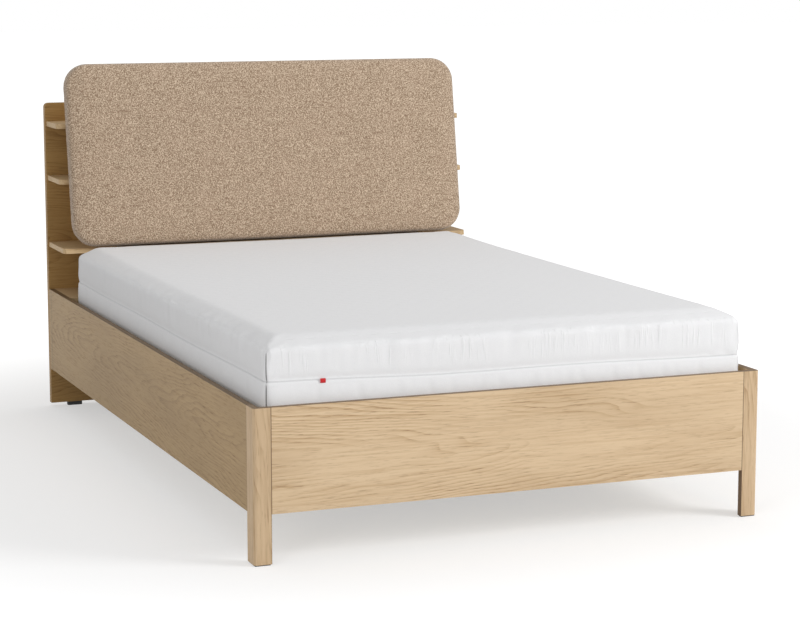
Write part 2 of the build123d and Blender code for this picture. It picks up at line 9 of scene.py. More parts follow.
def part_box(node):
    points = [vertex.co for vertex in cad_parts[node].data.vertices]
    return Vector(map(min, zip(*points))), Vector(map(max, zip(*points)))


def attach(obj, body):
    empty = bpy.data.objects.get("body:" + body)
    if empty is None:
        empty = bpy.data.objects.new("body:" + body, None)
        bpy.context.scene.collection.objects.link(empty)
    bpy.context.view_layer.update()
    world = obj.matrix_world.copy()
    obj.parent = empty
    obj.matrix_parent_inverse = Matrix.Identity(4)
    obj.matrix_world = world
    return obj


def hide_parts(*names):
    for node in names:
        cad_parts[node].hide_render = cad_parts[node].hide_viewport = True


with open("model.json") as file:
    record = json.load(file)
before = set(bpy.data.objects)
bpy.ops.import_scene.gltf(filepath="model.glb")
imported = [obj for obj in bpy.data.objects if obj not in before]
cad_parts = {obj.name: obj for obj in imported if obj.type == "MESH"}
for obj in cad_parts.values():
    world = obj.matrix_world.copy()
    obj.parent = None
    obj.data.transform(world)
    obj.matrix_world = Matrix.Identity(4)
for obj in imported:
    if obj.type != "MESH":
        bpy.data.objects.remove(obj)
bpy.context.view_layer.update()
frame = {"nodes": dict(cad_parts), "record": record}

nodes = frame["nodes"]
print("frame loaded,", len(nodes), "nodes")


# Camera: a long lens from the foot end, a little left of the bed

cameraPlan = {
    "place": (-2.4745, -6.541, 1.5433),
    "tilt": math.pi / 2 - 0.1512,
    "turn": -0.3793,
    "lens": 102.6,
    "sensor": 36.0,
    "shift": (-0.0046, -0.0136),
}


def setCamera(plan):
    lens = bpy.data.cameras.new("bedCamera")
    lens.sensor_fit = "HORIZONTAL"
    lens.sensor_width = plan["sensor"]
    lens.lens = plan["lens"]
    lens.shift_x, lens.shift_y = plan["shift"]
    lens.clip_end = 200.0
    holder = bpy.data.objects.new("bedCamera", lens)
    holder.location = plan["place"]
    holder.rotation_euler = (plan["tilt"], 0.0, plan["turn"])
    bpy.context.scene.collection.objects.link(holder)
    bpy.context.scene.camera = holder


setCamera(cameraPlan)
bpy.context.scene.view_settings.view_transform = "Standard"
print("camera set")


# Shader helpers: sockets that take maths, and one method for any other node

class Wire:
    def __init__(self, finish, socket):
        self.finish = finish
        self.socket = socket

    def maths(self, operation, first, second=0.0):
        return self.finish.node("ShaderNodeMath", {"operation": operation}, {0: first, 1: second})

    def __add__(self, other):
        return self.maths("ADD", self, other)

    def __radd__(self, other):
        return self.maths("ADD", other, self)

    def __sub__(self, other):
        return self.maths("SUBTRACT", self, other)

    def __rsub__(self, other):
        return self.maths("SUBTRACT", other, self)

    def __mul__(self, other):
        return self.maths("MULTIPLY", self, other)

    def __rmul__(self, other):
        return self.maths("MULTIPLY", other, self)

    def __truediv__(self, other):
        return self.maths("DIVIDE", self, other)

    def __rtruediv__(self, other):
        return self.maths("DIVIDE", other, self)

    def __pow__(self, other):
        return self.maths("POWER", self, other)

    def __rpow__(self, other):
        return self.maths("POWER", other, self)

    def __abs__(self):
        return self.maths("ABSOLUTE", self)

    def fraction(self):
        return self.maths("FRACT", self)

    def wave(self):
        return self.maths("SINE", self)

    def ramp(self, low, high):
        # 0 below low, 1 above high, eased between
        settings = {"interpolation_type": "SMOOTHSTEP", "clamp": True}
        return self.finish.node("ShaderNodeMapRange", settings, {0: self, 1: low, 2: high})


class Finish:
    def __init__(self, name, roughness=0.5, metallic=0.0, **constants):
        self.material = bpy.data.materials.new(name)
        self.material.use_nodes = True
        self.tree = self.material.node_tree
        self.tree.nodes.clear()
        self.shader = self.tree.nodes.new("ShaderNodeBsdfPrincipled")
        self.sink = self.tree.nodes.new("ShaderNodeOutputMaterial")
        self.tree.links.new(self.shader.outputs[0], self.sink.inputs["Surface"])
        self.shader.inputs["Roughness"].default_value = roughness
        self.shader.inputs["Metallic"].default_value = metallic
        for socket, value in constants.items():
            self.shader.inputs[socket.replace("_", " ")].default_value = value
        self.place = self.node("ShaderNodeTexCoord", output="Object")

    def node(self, kind, settings=None, sockets=None, output=0):
        made = self.tree.nodes.new(kind)
        for key, value in (settings or {}).items():
            setattr(made, key, value)
        for key, value in (sockets or {}).items():
            if isinstance(value, Wire):
                self.tree.links.new(value.socket, made.inputs[key])
            else:
                made.inputs[key].default_value = value
        return Wire(self, made.outputs[output])

    def feed(self, socket, value):
        self.tree.links.new(value.socket, self.shader.inputs[socket])

    def axes(self):
        split = self.tree.nodes.new("ShaderNodeSeparateXYZ")
        self.tree.links.new(self.place.socket, split.inputs[0])
        return [Wire(self, split.outputs[index]) for index in range(3)]

    def scaled(self, scale, move=(0.0, 0.0, 0.0)):
        sockets = {"Vector": self.place, "Location": move, "Scale": scale}
        return self.node("ShaderNodeMapping", {}, sockets)

    def clouds(self, vector, size, detail=3.0, rough=0.55, twist=0.0):
        sockets = {"Vector": vector, "Scale": size, "Detail": detail, "Roughness": rough,
                   "Distortion": twist}
        return self.node("ShaderNodeTexNoise", {}, sockets)

    def grained(self, grain, scales, detail, rough=0.55, twist=0.0, move=(0.0, 0.0, 0.0)):
        # noise drawn out along one axis, with its scales across the grain and along it
        stretch = [scales[1] if axis == grain else scales[0] for axis in range(3)]
        return self.clouds(self.scaled(stretch, move), 1.0, detail, rough, twist)

    def cells(self, vector, size):
        return self.node("ShaderNodeTexVoronoi", {}, {"Vector": vector, "Scale": size}, "Distance")

    def mix(self, share, first, second):
        settings = {"data_type": "RGBA", "clamp_factor": True}
        return self.node("ShaderNodeMix", settings, {0: share, 6: first, 7: second}, 2)

    def relief(self, height, strength, distance):
        sockets = {"Height": height, "Strength": strength, "Distance": distance}
        self.feed("Normal", self.node("ShaderNodeBump", {}, sockets))


def linear(*colour):
    # colours are written as they show on a screen, 0 to 255
    shares = [c / 255 for c in colour]
    return (*(c / 12.92 if c <= 0.04045 else ((c + 0.055) / 1.055) ** 2.4 for c in shares), 1.0)


# Oak veneer and solid oak: growth rings round a heart beside the board, pores along the grain

# lit and shaded copies of one oak: side and back are darker copies, painted shade on the side rails
# and on the back panel, dividers and head wall
oakLitAndShadedTones = {
    "front": {"light": (218, 192, 157), "deep": (180, 147, 107), "pore": (128, 96, 64)},
    "side": {"light": (178, 149, 106), "deep": (150, 120, 80), "pore": (104, 80, 50)},
    "back": {"light": (174, 138, 84), "deep": (138, 101, 54), "pore": (94, 65, 32)},
    "leg": {"light": (212, 185, 150), "deep": (172, 140, 102), "pore": (122, 93, 62)},
    "shelf": {"light": (212, 184, 142), "deep": (176, 142, 99), "pore": (122, 92, 58)},
}

oakPlan = {
    "ringSpacing": 0.0105,
    "taper": 0.085,
    "drift": 0.11,
    "wobble": 0.55,
    "ringShare": 0.85,
    "poreShare": 0.75,
    "streakShare": 0.32,
    "patchShare": 0.22,
    "patchTone": 0.86,
    # painted shade in the thin gap where a panel butts its leg
    "joint": (88, 64, 40),
    "jointShare": 0.85,
    # painted shade along the top edges of the footboard, legs and side rails
    "edgeBand": (98, 76, 52),
    "edgeShare": 0.8,
    "roughness": 0.52,
    "poreRoughness": 0.16,
}

# noise scales across the grain and along it
oakScales = {
    "drift": (7.0, 1.3),
    "wobble": (60.0, 9.0),
    "fade": (9.0, 2.2),
    "streak": (150.0, 4.0),
    "pore": (520.0, 26.0),
    "patch": (5.0, 1.4),
}

# axis of the row and distance from the middle at which a panel butts its leg
oakJoints = {
    "footboard_panel": (0, 0.686),
    "leg_front_left": (0, 0.686),
    "leg_front_right": (0, 0.686),
    "side_rail_left": (1, 1.089),
    "side_rail_right": (1, 1.089),
}

# tone (the lit copy, or a darker copy with painted shade), axis of the grain, the log's centre line
# as two pairs of axis and place, shift of the figure
oakBoards = {
    "footboard_panel": ("front", 0, ((2, 0.268), (1, -1.105)), 0.0),
    "side_rail_left": ("side", 1, ((2, 0.290), (0, -0.690)), 0.4),
    "side_rail_right": ("side", 1, ((2, 0.250), (0, 0.690)), 1.9),
    "back_panel": ("back", 0, ((2, 0.560), (1, 1.180)), 0.7),
    "leg_front_left": ("leg", 2, ((0, -0.790), (1, -1.060)), 0.3),
    "leg_front_right": ("leg", 2, ((0, 0.650), (1, -1.060)), 1.2),
    "shelf_lower": ("shelf", 0, ((1, 1.020), (2, 0.530)), 0.2),
    "shelf_middle": ("shelf", 0, ((1, 1.060), (2, 0.760)), 1.1),
    "shelf_upper": ("shelf", 0, ((1, 1.040), (2, 0.930)), 2.3),
    "shelf_base": ("shelf", 0, ((1, 1.010), (2, 0.360)), 3.1),
    "divider_left": ("back", 2, ((1, 1.050), (0, -0.600)), 0.9),
    "divider_right": ("back", 2, ((1, 1.050), (0, 0.600)), 1.4),
    "head_wall": ("back", 0, ((2, 0.250), (1, 0.940)), 1.6),
}


def makeOak(name, tone, grain, heart, shift, joint=None, topEdge=None):
    plan, scales, colours = oakPlan, oakScales, oakLitAndShadedTones[tone]
    finish = Finish(name, plan["roughness"], Specular_IOR_Level=0.35)
    axis = finish.axes()
    (firstAxis, firstPlace), (secondAxis, secondPlace) = heart
    across = axis[firstAxis] - firstPlace
    deep = axis[secondAxis] - secondPlace
    radius = (across * across + deep * deep) ** 0.5
    drift = finish.grained(grain, scales["drift"], 2.5, move=(shift, shift * 1.7, shift * 0.6))
    run = axis[grain] * plan["taper"] + (drift - 0.5) * plan["drift"]
    wobble = finish.grained(grain, scales["wobble"], 2.0)
    rings = (radius + run) / plan["ringSpacing"] + (wobble - 0.5) * plan["wobble"] + shift
    ring = rings.fraction()
    fade = finish.grained(grain, scales["fade"], 2.0, move=(shift, 0.0, 0.0))
    late = ring ** 3.0 * (1.0 - ring.ramp(0.93, 1.0)) * fade.ramp(0.36, 0.62)
    streak = finish.grained(grain, scales["streak"], 3.0, 0.6)
    pore = finish.grained(grain, scales["pore"], 2.0, 0.5).ramp(0.55, 0.72)
    patch = finish.grained(grain, scales["patch"], 2.0, move=(shift * 2, 3.0, 1.0))
    shade = late * plan["ringShare"] + streak.ramp(0.38, 0.72) * plan["streakShare"]
    body = finish.mix(shade, linear(*colours["light"]), linear(*colours["deep"]))
    body = finish.mix(pore * (0.35 + late) * plan["poreShare"], body, linear(*colours["pore"]))
    darker = linear(*[plan["patchTone"] * c for c in colours["deep"]])
    body = finish.mix(patch.ramp(0.35, 0.7) * plan["patchShare"], body, darker)
    if joint:
        # painted shade of the thin gap where a panel butts its leg, a fine dark line
        gap = 1.0 - abs(abs(axis[joint[0]]) - joint[1]).ramp(0.0005, 0.0016)
        body = finish.mix(gap * plan["jointShare"], body, linear(*plan["joint"]))
    if topEdge:
        # painted shade along the upper edge, a dark strip where the top edge falls in shadow
        upper = axis[2].ramp(topEdge - 0.0006, topEdge - 0.0001)
        body = finish.mix(upper * plan["edgeShare"], body, linear(*plan["edgeBand"]))
    finish.feed("Base Color", body)
    finish.feed("Roughness", pore * plan["poreRoughness"] + plan["roughness"])
    finish.relief(late * 0.4 + (1.0 - pore), 0.35, 0.00025)
    return finish.material


# Plain finishes of the hidden parts

plainPlan = {
    "black_plastic": {"colour": (38, 38, 38), "rough": 0.45,
                      "grain": 900.0, "depth": 0.00012, "vary": 0.25},
    "grey_plastic": {"colour": (94, 95, 98), "rough": 0.5,
                     "grain": 800.0, "depth": 0.00012, "vary": 0.18},
    "rubber_buffer": {"colour": (34, 34, 35), "rough": 0.75,
                      "grain": 650.0, "depth": 0.0002, "vary": 0.3},
    "black_steel": {"colour": (40, 41, 43), "rough": 0.42,
                    "grain": 420.0, "depth": 0.00015, "vary": 0.3},
}


def makePlain(name, plan):
    finish = Finish(name, plan["rough"], Specular_IOR_Level=0.4)
    grain = finish.clouds(finish.place, plan["grain"], 2.0)
    wear = finish.clouds(finish.place, 7.0, 4.0, 0.6)
    rubbed = linear(*[1.6 * c + 12 for c in plan["colour"]])
    body = finish.mix(wear.ramp(0.42, 0.75) * plan["vary"], linear(*plan["colour"]), rubbed)
    finish.feed("Base Color", body)
    finish.feed("Roughness", (wear - 0.5) * 0.3 + plan["rough"])
    finish.relief(grain, 0.5, plan["depth"])
    return finish.material


# Bright metals: brush is the noise scale per axis, scuff the share of dull spots

metalPlan = {
    "zinc_steel": {"name": "zincSteel", "colour": (196, 197, 195), "rough": 0.38,
                   "brush": (60.0, 60.0, 220.0), "scuff": 0.35},
    "rod_chrome": {"name": "rodChrome", "colour": (222, 224, 226), "rough": 0.12,
                   "brush": (400.0, 30.0, 400.0), "scuff": 0.1},
}


def makeMetal(plan):
    finish = Finish(plan["name"], plan["rough"], 1.0)
    brushed = finish.clouds(finish.scaled(plan["brush"]), 1.0, 3.0)
    spots = finish.clouds(finish.place, 35.0, 4.0, 0.65)
    dull = linear(*[0.72 * c for c in plan["colour"]])
    share = brushed.ramp(0.35, 0.75) * 0.5 + spots.ramp(0.5, 0.8) * plan["scuff"]
    finish.feed("Base Color", finish.mix(share, linear(*plan["colour"]), dull))
    finish.feed("Roughness", (spots - 0.5) * 0.3 + plan["rough"])
    finish.relief(brushed, 0.2, 0.00008)
    return finish.material


# Sheet woods of the box and pad: pale face, pressed layers or fibres

boardPlan = {
    "plywood": {"light": (214, 188, 148), "dark": (178, 147, 106),
                "along": 0, "fine": 240.0, "layer": 0.0015},
    "pine": {"light": (222, 193, 142), "dark": (186, 145, 92),
             "along": 1, "fine": 110.0, "layer": 0.0},
    "fibreboard": {"light": (196, 172, 136), "dark": (166, 140, 104),
                   "along": None, "fine": 300.0, "layer": 0.0},
    "birch_slat": {"light": (228, 205, 165), "dark": (205, 176, 132),
                   "along": 0, "fine": 260.0, "layer": 0.0014},
}


def makeBoard(name, plan):
    finish = Finish(name, 0.6, Specular_IOR_Level=0.3)
    along, fine = plan["along"], plan["fine"]
    grain = finish.grained(along, (fine, fine / 30), 3.0, 0.6)
    figure = finish.grained(along, (18.0, 1.6), 3.0, 0.55, 0.6)
    shade = grain.ramp(0.35, 0.7) * 0.5 + (figure * 9.0).fraction() * 0.28
    if plan["layer"]:
        # plies of the cut edge, light and dark by turns
        ply = (finish.axes()[2] / (2 * plan["layer"])).fraction()
        shade = shade + ply.ramp(0.45, 0.55) * 0.18
    finish.feed("Base Color", finish.mix(shade, linear(*plan["light"]), linear(*plan["dark"])))
    finish.feed("Roughness", grain * 0.2 + 0.52)
    finish.relief(grain, 0.4, 0.0002)
    return finish.material


# Fabrics

padWeave = {
    "light": (226, 205, 180),
    "middle": (184, 160, 135),
    "dark": (128, 104, 82),
    "patch": (196, 168, 146),
    "loopScale": 210.0,
    "tintScale": 330.0,
    "napScale": 90.0,
    "patchScale": 14.0,
}

coverWeave = {
    "colour": (232, 232, 233),
    "shadow": (86, 84, 82),
    "hollow": (206, 206, 208),
    "stitchScale": 520.0,
    "row": 0.034,
    "step": 0.058,
    "top": (0.556, 0.562),
    "side": (0.470, 0.520),
}

# ribs: how fast the sine that draws them turns, in radians over a metre
ribbonWeaves = {
    "webbing": {"name": "strapWebbing", "colour": (46, 46, 47), "hollow": (20, 20, 21),
                "ribs": 4200.0},
    "tag_fabric": {"name": "tagRibbon", "colour": (226, 52, 54), "hollow": (176, 26, 32),
                   "ribs": 6000.0},
}


def makePadFabric(weave):
    sheen = {"Sheen_Weight": 0.35, "Sheen_Roughness": 0.5}
    finish = Finish("boucleFabric", 0.92, Specular_IOR_Level=0.15, **sheen)
    loops = finish.cells(finish.place, weave["loopScale"])
    tint = finish.clouds(finish.place, weave["tintScale"], 0.0, 0.5)
    nap = finish.clouds(finish.place, weave["napScale"], 2.0, 0.5)
    patch = finish.clouds(finish.place, weave["patchScale"], 3.0, 0.6)
    body = finish.mix(tint.ramp(0.38, 0.62), linear(*weave["dark"]), linear(*weave["light"]))
    body = finish.mix(0.3, body, linear(*weave["middle"]))
    body = finish.mix(loops.ramp(0.35, 0.75) * 0.4, body, linear(*weave["dark"]))
    body = finish.mix(patch.ramp(0.4, 0.7) * 0.12, body, linear(*weave["patch"]))
    finish.feed("Base Color", body)
    finish.relief((1.0 - loops) * 0.7 + tint * 0.5 + nap * 0.3, 0.7, 0.0022)
    return finish.material


def makeCover(weave):
    sheen = {"Sheen_Weight": 0.2, "Sheen_Roughness": 0.4}
    finish = Finish("mattressCover", 0.85, Specular_IOR_Level=0.2, **sheen)
    seam = finish.node("ShaderNodeAttribute", {"attribute_name": "seam"}, output="Fac")
    knit = finish.cells(finish.place, weave["stitchScale"])
    fine = finish.clouds(finish.place, 60.0, 3.0)
    body = finish.mix(seam, linear(*weave["colour"]), linear(*weave["shadow"]))
    hollow = knit.ramp(0.3, 0.9) * 0.12 + fine.ramp(0.5, 0.8) * 0.04
    finish.feed("Base Color", finish.mix(hollow, body, linear(*weave["hollow"])))
    x, y, z = finish.axes()
    onTop = z.ramp(*weave["top"])
    onSides = z.ramp(*weave["side"]) * (1.0 - onTop)
    # short staggered ovals of the quilted top, in rows across the bed
    row = y / weave["row"]
    side = (x / weave["step"] + row.maths("FLOOR", row) * 0.5).fraction() - 0.5
    up = row.fraction() - 0.5
    dimple = 1.0 - (side * side * 9.0 + up * up * 60.0).ramp(0.0, 1.0)
    # upright gathers of the sides, in some places only
    gather = finish.clouds(finish.scaled((95.0, 95.0, 9.0)), 1.0, 2.0).ramp(0.5, 0.68)
    gather = gather * finish.clouds(finish.place, 6.0, 2.0).ramp(0.42, 0.62)
    height = knit * 0.12 + fine * 0.22 - dimple * onTop * 0.7 + gather * onSides * 0.9
    finish.relief(height, 0.6, 0.002)
    return finish.material


def makeRibbed(weave):
    finish = Finish(weave["name"], 0.7, Specular_IOR_Level=0.25, Sheen_Weight=0.2)
    axis = finish.axes()
    rib = (axis[0] * weave["ribs"]).wave() * 0.5 + 0.5
    cross = (axis[2] * weave["ribs"]).wave() * 0.5 + 0.5
    woven = rib * cross
    fuzz = finish.clouds(finish.place, 500.0, 2.0)
    share = (1.0 - woven) * 0.6 + fuzz * 0.2
    finish.feed("Base Color", finish.mix(share, linear(*weave["colour"]), linear(*weave["hollow"])))
    finish.relief(woven + fuzz * 0.3, 0.5, 0.0003)
    return finish.material


def titled(name):
    return name.title().replace("_", "")


slotFinish = {slot: makePlain(titled(slot), plan) for slot, plan in plainPlan.items()}
slotFinish.update({slot: makeBoard(titled(slot), plan) for slot, plan in boardPlan.items()})
slotFinish.update({slot: makeMetal(plan) for slot, plan in metalPlan.items()})
slotFinish.update({slot: makeRibbed(weave) for slot, weave in ribbonWeaves.items()})
slotFinish["pad_fabric"] = makePadFabric(padWeave)
slotFinish["mattress_cover"] = makeCover(coverWeave)
nodeSlots = {}
for entry in frame["record"]["materials"]:
    for nodeName in entry.get("nodes", []):
        nodeSlots[nodeName] = entry["slot"]

for nodeName, thing in nodes.items():
    slot = nodeSlots.get(nodeName)
    if nodeName in oakBoards:
        joint = oakJoints.get(nodeName)
        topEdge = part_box(nodeName)[1].z if joint else None
        material = makeOak("oak" + titled(nodeName), *oakBoards[nodeName], joint, topEdge)
    elif slot in slotFinish:
        material = slotFinish[slot]
    else:
        print("no finish for", nodeName, slot)
        continue
    thing.data.materials.clear()
    thing.data.materials.append(material)
print("finishes made")


# Mesh helpers for the soft pieces

tiny = 1e-9
clothPlan = {"pressure": 4.0, "stiffness": 12.0, "bending": 0.6}


def addPiece(name, points, faces, material):
    mesh = bpy.data.meshes.new(name)
    corners = [tuple(map(float, point)) for point in points]
    mesh.from_pydata(corners, [], [tuple(map(int, face)) for face in faces])
    mesh.update()
    piece = bpy.data.objects.new(name, mesh)
    bpy.context.scene.collection.objects.link(piece)
    mesh.materials.append(material)
    mesh.polygons.foreach_set("use_smooth", [True] * len(mesh.polygons))
    return piece


def meshPoints(mesh):
    flat = np.zeros(len(mesh.vertices) * 3)
    mesh.vertices.foreach_get("co", flat)
    return flat.reshape(-1, 3)


def writePoints(mesh, points):
    mesh.vertices.foreach_set("co", np.asarray(points, float).ravel())
    mesh.update()


def applyModifier(piece, kind, **settings):
    bpy.ops.object.select_all(action="DESELECT")
    bpy.context.view_layer.objects.active = piece
    piece.select_set(True)
    modifier = piece.modifiers.new(kind.lower(), kind)
    for key, value in settings.items():
        setattr(modifier, key, value)
    bpy.ops.object.modifier_apply(modifier=modifier.name)


def puffUp(piece, held, slack, cap, frames):
    # the fabric is blown up round its filling, held at its seams; no point moves further than cap
    start = meshPoints(piece.data)
    group = piece.vertex_groups.new(name="held")
    group.add([int(i) for i in np.flatnonzero(held)], 1.0, "REPLACE")
    cloth = piece.modifiers.new("cloth", "CLOTH")
    cloth.settings.use_pressure = True
    cloth.settings.uniform_pressure_force = clothPlan["pressure"]
    cloth.settings.effector_weights.gravity = 0.0
    cloth.settings.shrink_min = -slack
    cloth.settings.vertex_group_mass = "held"
    cloth.settings.tension_stiffness = clothPlan["stiffness"]
    cloth.settings.compression_stiffness = clothPlan["stiffness"]
    cloth.settings.bending_stiffness = clothPlan["bending"]
    cloth.collision_settings.use_collision = False
    scene = bpy.context.scene
    for step in range(1, frames + 1):
        scene.frame_set(step)
    shown = piece.evaluated_get(bpy.context.evaluated_depsgraph_get())
    moved = meshPoints(shown.data) - start
    far = np.linalg.norm(moved, axis=1)
    moved *= np.minimum(1.0, cap / np.maximum(far, tiny))[:, None]
    piece.modifiers.remove(cloth)
    piece.vertex_groups.remove(group)
    scene.frame_set(1)
    writePoints(piece.data, start + moved)


def softNoise(x, y, z, scale, seed):
    away = Vector((seed, seed * 0.7, -seed))
    return np.array([noise.noise(Vector(p) + away) for p in np.stack([x, y, z], 1) * scale])


def smoothStep(value, low, high):
    t = np.clip((np.asarray(value) - low) / (high - low), 0.0, 1.0)
    return t * t * (3 - 2 * t)


def bell(value, width):
    # 1 at zero, next to nothing two widths away
    return np.exp(-(value / width) ** 2)


# Mattress: rounded cover with a zip border all round, corner seams and puckered top edges

mattressPlan = {
    "low": (-0.693, -1.115, 0.362),
    "high": (0.693, 0.883, 0.562),
    "rounding": 0.019,
    "spacing": 0.0125,
    "zipHeight": 0.466,
    "zipDraw": 0.0042,
    "zipDrawWidth": 0.013,
    "zipGroove": 0.0016,
    "zipGrooveWidth": 0.0012,
    "bandHeight": 0.0100,
    "bandProud": 0.0019,
    "cornerGroove": 0.0038,
    "cornerWidth": 0.0024,
    "zipShade": 0.28,
    "pucker": 0.0042,
    "cornerPucker": 0.003,
    "crease": 0.0026,
    "leftMore": 1.5,
    "swell": 0.0022,
    "puff": 0.017,
    "puffSlack": 0.004,
    "puffCap": 0.003,
    "puffFrames": 14,
    # scale and seed of each noise
    "swellNoise": (3.0, 1.7),
    "clusterNoise": (5.0, 5.5),
    "rowNoise": (26.0, 3.1),
    "fineNoise": (75.0, 8.4),
    # the top's rise from the head end and from the other edges: where it starts and where it ends
    "headRise": (0.002, 0.048),
    "edgeRise": (0.004, 0.085),
    # the zip's height along the front, and the net's stops above and below the zip
    "frontZip": ((-0.689, 0.471), (-0.570, 0.469), (-0.238, 0.461), (0.284, 0.460),
                 (0.685, 0.4545)),
    "zipSteps": (0.034, 0.022, 0.013, 0.007, 0.003, 0.001, 0.0, -0.0012, -0.003, -0.006, -0.009,
                 -0.01, -0.0115, -0.018, -0.028),
}


def lineStops(low, high, spacing, edge, inner=()):
    # closer stops towards both ends, and between them the given ones or an even row
    ends = [0.0, 0.0012, 0.0035, edge * 0.4, edge * 0.7, edge]
    count = max(2, round((high - low - 2 * edge) / spacing))
    stops = [low + e for e in ends] + [high - e for e in ends]
    stops += list(inner) or list(np.linspace(low + edge, high - edge, count + 1)[1:-1])
    return np.unique(np.round(stops, 6))


def boxShell(stops):
    # the six faces of a box cut on the given stops, as one closed net of quads
    points, faces = [], []
    for axis in range(3):
        u, v = (axis + 1) % 3, (axis + 2) % 3
        for end in (0, -1):
            gridU, gridV = np.meshgrid(stops[u], stops[v], indexing="ij")
            face = np.zeros(gridU.shape + (3,))
            face[..., u], face[..., v], face[..., axis] = gridU, gridV, stops[axis][end]
            base = sum(len(p) for p in points)
            points.append(face.reshape(-1, 3))
            index = base + np.arange(gridU.size).reshape(gridU.shape)
            corners = [index[:-1, :-1], index[1:, :-1], index[1:, 1:], index[:-1, 1:]]
            quads = np.stack(corners, -1).reshape(-1, 4)
            faces.append(quads if end else quads[:, ::-1])
    points, faces = np.concatenate(points), np.concatenate(faces)
    _, first, back = np.unique(np.round(points, 6), axis=0, return_index=True, return_inverse=True)
    return points[first], back.reshape(-1)[faces]


def coverNet(plan):
    # the box with rounded edges, and for each point what the sewing needs to know of its place
    low, high, edge = np.array(plan["low"]), np.array(plan["high"]), plan["rounding"]
    steps = [plan["zipHeight"] + s for s in plan["zipSteps"]]
    upright = list(np.linspace(low[2] + edge, steps[-1], 5)) + steps
    upright += list(np.linspace(steps[0], high[2] - edge, 5))
    given = ((), (), upright)
    flat, faces = boxShell([lineStops(low[axis], high[axis], plan["spacing"], edge, given[axis])
                            for axis in range(3)])
    inner = np.clip(flat, low + edge, high - edge)
    out = flat - inner
    outward = out / np.maximum(np.linalg.norm(out, axis=1), tiny)[:, None]
    level = outward * (1.0, 1.0, 0.0)
    level /= np.maximum(np.linalg.norm(level, axis=1), tiny)[:, None]
    return {
        "low": low,
        "high": high,
        "flat": flat,
        "faces": faces,
        "rounded": inner + outward * edge,
        "outward": outward,
        "level": level,
        "border": np.abs(outward[:, 0]) + np.abs(outward[:, 1]) > 0.35,
        "fromSide": np.minimum(np.abs(flat - low), np.abs(flat - high)),
        "fromZip": flat[:, 2] - plan["zipHeight"],
    }


def sewSeams(plan, net):
    # moves outward at the zip and corner seams, how dark they show, and what the simulation holds
    z, low, high, offset = net["flat"][:, 2], net["low"][2], net["high"][2], net["fromZip"]
    edge, band = plan["rounding"], plan["bandHeight"]
    aboveBand = smoothStep(offset, -0.0014, -0.0002)
    inBand = smoothStep(offset, -band - 0.005, -band + 0.002) * (1 - aboveBand)
    groove = bell(offset, plan["zipGrooveWidth"])
    nearTop = smoothStep(z, high - edge, high - 0.004)
    sides = net["border"] * smoothStep(z, low + 0.004, low + edge) * (1 - nearTop)
    drawn = inBand * plan["bandProud"] - bell(offset, plan["zipDrawWidth"]) * plan["zipDraw"]
    push = sides * (drawn - groove * plan["zipGroove"])
    # corner seams, fainter where the zip turns the corner
    fromCorner = net["fromSide"][:, 0] + net["fromSide"][:, 1]
    corner = bell(fromCorner, plan["cornerWidth"]) * net["border"]
    reach = smoothStep(z, low + 0.006, low + 0.02) * (1 - smoothStep(z, high - 0.022, high - 0.008))
    corner = corner * reach * (1 - 0.75 * bell(offset + 0.004, 0.006))
    push -= corner * plan["cornerGroove"]
    seam = np.clip(corner + groove * sides * plan["zipShade"], 0, 1)
    held = (seam > 0.05) | (z < low + edge * 0.8) | (inBand * sides > 0.5)
    return push, seam, held


def zipRise(plan, net):
    # the sewn zip line rises and falls along the sides
    x, y = net["flat"].T[:2]
    front = np.interp(x, *zip(*plan["frontZip"])) - plan["zipHeight"]
    wander = 0.0012 * np.sin(y * 7.0 + 1.0) + 0.0008 * np.sin(x * 9.0)
    near = bell(net["fromZip"], 0.045) * net["border"]
    return near * (front * bell(y - net["low"][1], 0.35) + wander)


def coverCrown(plan, net):
    # the top rises steeply from the head end and slowly from the other edges, with wide swells
    x, y, z = net["flat"].T
    low, high = net["low"], net["high"]
    middle = (low + high) / 2
    reach = np.abs(net["flat"] - middle) / (high - middle)
    dome = (1 - reach[:, 0] ** 2.6) * (1 - reach[:, 1] ** 4.0)
    swell = softNoise(x, y, z * 0, *plan["swellNoise"]) * plan["swell"]
    fromHead = smoothStep(high[1] - y, *plan["headRise"])
    nearest = np.minimum(net["fromSide"][:, 0] * 1.4, y - low[1])
    fromEdges = smoothStep(nearest, *plan["edgeRise"])
    nearHead = 1 + 0.18 * smoothStep(y, high[1] - 0.5, high[1] - 0.1)
    fill = fromHead * fromEdges * nearHead * (z > high[2] - 0.001)
    onTop = net["outward"][:, 2] > 0.8
    return plan["puff"] * fill + onTop * swell * np.sqrt(np.clip(dome, 0, 1))


def coverRipple(plan, net):
    # puckers and creases of the knit cover, strongest at the top edges and corners
    x, y, z = net["flat"].T
    rowNoise = softNoise(x, y, z * 0.12, *plan["rowNoise"])
    fineNoise = softNoise(x, y, z * 0.06, *plan["fineNoise"])
    cluster = np.clip(0.55 + 1.6 * softNoise(x, y, z, *plan["clusterNoise"]), 0.0, 1.4)
    topEdge = bell(z - net["high"][2], 0.035) * net["border"]
    more = np.where(x < net["low"][0] + 0.02, plan["leftMore"], 1.0)
    upperSide = smoothStep(net["fromZip"], 0.01, 0.05) * net["border"]
    puckers = topEdge * rowNoise * cluster * plan["pucker"] * more
    creases = upperSide * fineNoise * cluster * plan["crease"]
    ripple = net["level"] * (puckers + creases)[:, None]
    nearEdge = bell(np.minimum(net["fromSide"][:, 0], net["fromSide"][:, 1]), 0.03)
    ripple[:, 2] += (net["outward"][:, 2] > 0.3) * rowNoise * more * plan["cornerPucker"] * nearEdge
    return ripple


